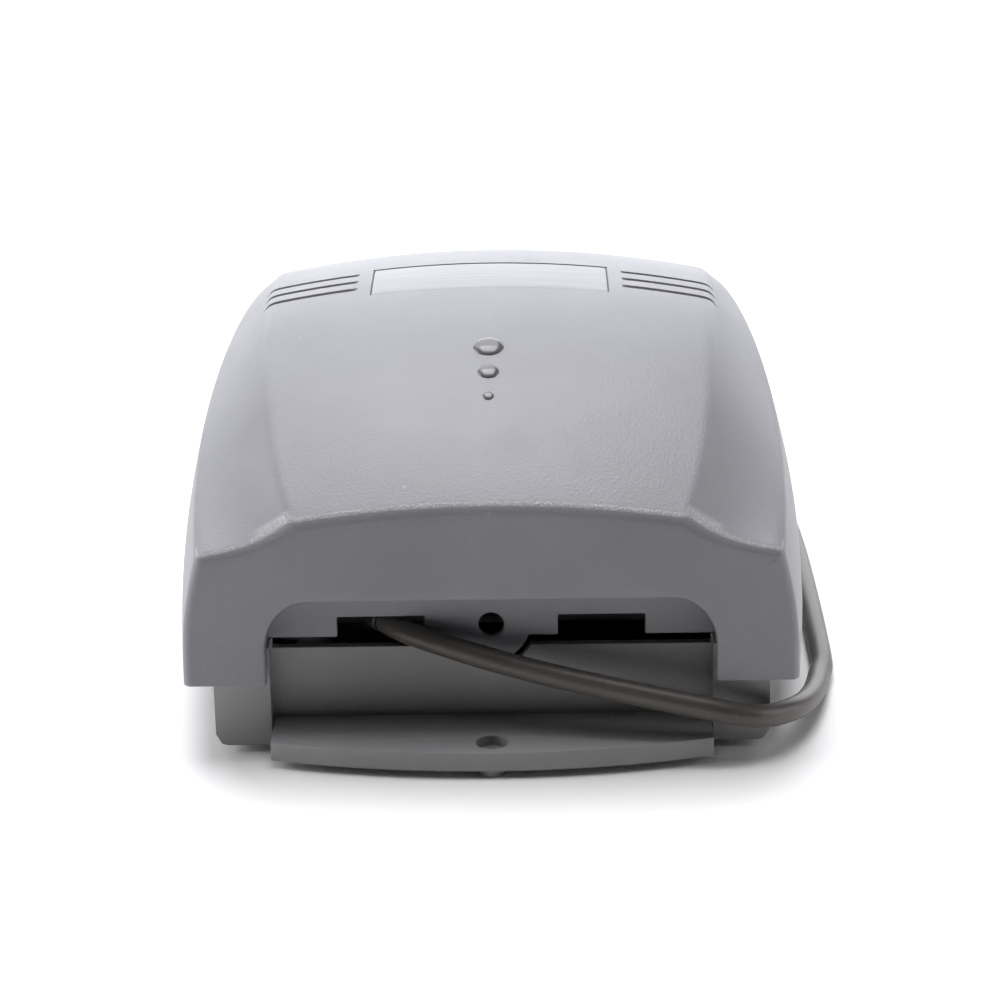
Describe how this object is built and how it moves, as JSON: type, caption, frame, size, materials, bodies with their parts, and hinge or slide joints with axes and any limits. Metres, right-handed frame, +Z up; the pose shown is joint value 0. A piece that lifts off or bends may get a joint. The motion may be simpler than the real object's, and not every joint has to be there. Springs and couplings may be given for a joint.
{
  "type": "banknote validator",
  "caption": "Countertop banknote validator: domed cover hinged at the front over a base with note transport, sensors and front keys; mains cord leaves a rear recess.",
  "frame": {"origin": "centre of the footprint at table level, cord left out", "axes": "+Y towards the front where notes go in, -Y the rear recess, +Z up, +X to the right as seen from the rear"},
  "size_m": [0.1514, 0.253, 0.0819],
  "materials": {
    "cover_grey": "fine spark-eroded texture, satin",
    "base_grey": "fine texture, matte",
    "badge": "smooth",
    "black_plastic": "matte",
    "guide_plastic": "satin",
    "display": "glossy",
    "rubber": "matte",
    "steel": "ground",
    "zinc": "zinc plated",
    "brass": "turned",
    "acetal": "satin",
    "circuit_board": "solder resist",
    "sensor_window": "clear, glossy",
    "cord_pvc": "satin",
    "pin_nickel": "nickel plated"
  },
  "bodies": {
    "base": {"base_housing": "base_grey", "cord_coil": "cord_pvc", "cord_gland": "black_plastic", "cord_tail": "cord_pvc", "cord_tube": "cord_pvc", "drive_belt": "rubber", "drive_motor": "zinc", "foot_front_left": "rubber", "foot_front_right": "rubber", "foot_rear_left": "rubber", "foot_rear_right": "rubber", "frame_screw_front_left": "zinc", "frame_screw_front_right": "zinc", "frame_screw_rear_left": "zinc", "frame_screw_rear_right": "zinc", "front_bush_left": "brass", "front_bush_right": "brass", "hinge_pin_left": "steel", "hinge_pin_right": "steel", "inlet_tray": "guide_plastic", "lower_guide": "guide_plastic", "lower_sensor_board": "circuit_board", "lower_sensor_window": "sensor_window", "main_board": "circuit_board", "plug_body": "cord_pvc", "plug_pin_left": "pin_nickel", "plug_pin_right": "pin_nickel", "power_supply_board": "circuit_board", "processor_chip": "black_plastic", "rear_bush_left": "brass", "rear_bush_right": "brass", "side_frame_left": "zinc", "side_frame_right": "zinc", "supply_capacitor": "zinc", "supply_transformer": "black_plastic"},
    "cover": {"top_cover": "cover_grey", "badge_plate": "badge", "display_window": "display", "display_module": "black_plastic", "control_board": "circuit_board", "upper_guide": "guide_plastic", "magnetic_head": "brass", "upper_sensor_board": "circuit_board"},
    "front_drive": {"front_drive_shaft": "steel", "front_roller_left": "rubber", "front_roller_right": "rubber", "drive_gear": "acetal", "front_pulley": "acetal"},
    "rear_drive": {"rear_drive_shaft": "steel", "rear_roller_left": "rubber", "rear_roller_right": "rubber", "rear_pulley": "acetal", "encoder_disc": "black_plastic"},
    "motor_rotor": {"motor_shaft": "steel", "motor_pinion": "brass"},
    "front_pinch": {"front_pinch_roller": "acetal"},
    "rear_pinch": {"rear_pinch_roller": "acetal"},
    "left_key": {"left_button": "black_plastic"},
    "centre_key": {"centre_button": "black_plastic"},
    "right_key": {"right_button": "black_plastic"}
  },
  "joints": [
    {"name": "cover_hinge", "type": "hinge", "parent": "base", "child": "cover", "pos_m": [0, 0.054, 0.061], "axis": [-1, 0, 0], "range_deg": [0, 55]},
    {"name": "front_drive_spin", "type": "hinge", "parent": "base", "child": "front_drive", "pos_m": [0, 0.038, 0.017], "axis": [1, 0, 0], "continuous": true},
    {"name": "rear_drive_spin", "type": "hinge", "parent": "base", "child": "rear_drive", "pos_m": [0, -0.008, 0.017], "axis": [1, 0, 0], "continuous": true},
    {"name": "motor_spin", "type": "hinge", "parent": "base", "child": "motor_rotor", "pos_m": [0.0515, 0.02239, 0.0135], "axis": [1, 0, 0], "continuous": true},
    {"name": "front_pinch_spin", "type": "hinge", "parent": "cover", "child": "front_pinch", "pos_m": [0, 0.038, 0.0299], "axis": [1, 0, 0], "continuous": true},
    {"name": "rear_pinch_spin", "type": "hinge", "parent": "cover", "child": "rear_pinch", "pos_m": [0, -0.008, 0.0299], "axis": [1, 0, 0], "continuous": true},
    {"name": "left_press", "type": "slide", "parent": "cover", "child": "left_key", "axis": [0, -0.9397, -0.342], "range_m": [0, 0.001], "stiffness_N_per_m": 250, "springref_m": -0.001},
    {"name": "centre_press", "type": "slide", "parent": "cover", "child": "centre_key", "axis": [0, -0.9397, -0.342], "range_m": [0, 0.001], "stiffness_N_per_m": 250, "springref_m": -0.001},
    {"name": "right_press", "type": "slide", "parent": "cover", "child": "right_key", "axis": [0, -0.9397, -0.342], "range_m": [0, 0.001], "stiffness_N_per_m": 250, "springref_m": -0.001}
  ],
  "couplings": [
    {"joint": "rear_drive_spin", "follows": "front_drive_spin", "ratio": 1},
    {"joint": "motor_spin", "follows": "front_drive_spin", "ratio": -2.3333},
    {"joint": "front_pinch_spin", "follows": "front_drive_spin", "ratio": -1.5},
    {"joint": "rear_pinch_spin", "follows": "front_drive_spin", "ratio": -1.5}
  ]
}
